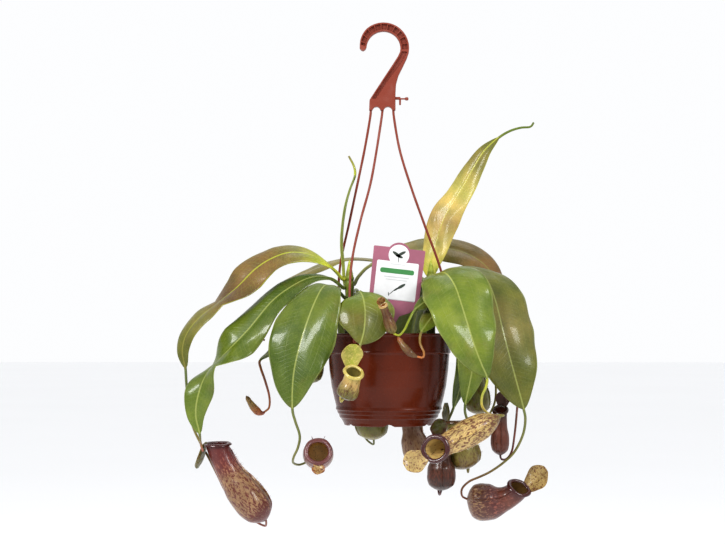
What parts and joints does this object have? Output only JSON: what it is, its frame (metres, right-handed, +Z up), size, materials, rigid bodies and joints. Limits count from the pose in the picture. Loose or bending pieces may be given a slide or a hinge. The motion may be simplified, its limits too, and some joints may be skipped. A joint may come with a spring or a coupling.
{
  "type": "hanging pitcher plant",
  "caption": "Tropical pitcher plant in a round plastic hanging pot, with arching leaves, tendrils, lidded cups and a moulded hook hanger.",
  "frame": {"origin": "inside top of the hook, where it rests on the rail", "axes": "+Z up, +X to the right of the label's printed side, +Y towards the back"},
  "size_m": [0.4142, 0.2422, 0.5709],
  "materials": {
    "pot_plastic": "glossy dark terracotta-brown moulded plastic",
    "hanger_plastic": "satin reddish-brown moulded plastic",
    "peat": "dark damp peat, rough",
    "tag_card": "printed mauve plastic card with a white panel",
    "stem": "green-brown soft stem, satin",
    "leaf_green": "glossy mid-green leaf with a pale midrib",
    "leaf_bronze": "satin bronze-green leaf with a pale midrib",
    "leaf_olive": "satin olive leaf with a pale midrib",
    "leaf_tan": "satin tan-yellow young leaf with a lime midrib",
    "pitcher_red": "waxy red-brown, mottled over tan",
    "pitcher_tan": "waxy yellow-tan with dark red flecks and rim",
    "pitcher_maroon": "waxy dark maroon",
    "pitcher_olive": "waxy olive-brown, mottled"
  },
  "bodies": {
    "root": {"bud_left": "pitcher_tan", "bud_rim": "pitcher_red", "hanger": "hanger_plastic", "label_tag": "tag_card", "leaf_back_left": "leaf_bronze", "leaf_back_right": "leaf_bronze", "leaf_behind": "leaf_green", "leaf_behind_left": "leaf_green", "leaf_behind_right": "leaf_olive", "leaf_far_back": "leaf_green", "leaf_far_left": "leaf_bronze", "leaf_front": "leaf_green", "leaf_front_left": "leaf_green", "leaf_front_right": "leaf_green", "leaf_hidden_left": "leaf_green", "leaf_left": "leaf_green", "leaf_low_right": "leaf_green", "leaf_right": "leaf_olive", "leaf_rim": "leaf_green", "leaf_spear": "leaf_green", "leaf_tag": "leaf_green", "leaf_under_right": "leaf_olive", "leaf_upright": "leaf_tan", "pitcher_behind_right": "pitcher_olive", "pitcher_beside": "pitcher_olive", "pitcher_dark": "pitcher_maroon", "pitcher_facing": "pitcher_red", "pitcher_grey": "pitcher_maroon", "pitcher_large_left": "pitcher_red", "pitcher_large_right": "pitcher_red", "pitcher_narrow": "pitcher_maroon", "pitcher_olive": "pitcher_olive", "pitcher_tag": "pitcher_tan", "pitcher_tan": "pitcher_tan", "pitcher_under": "pitcher_olive", "pitcher_yellow_lid": "pitcher_tan", "pot": "pot_plastic", "soil": "peat", "stem_left": "stem", "stem_right": "stem"}
  },
  "joints": []
}
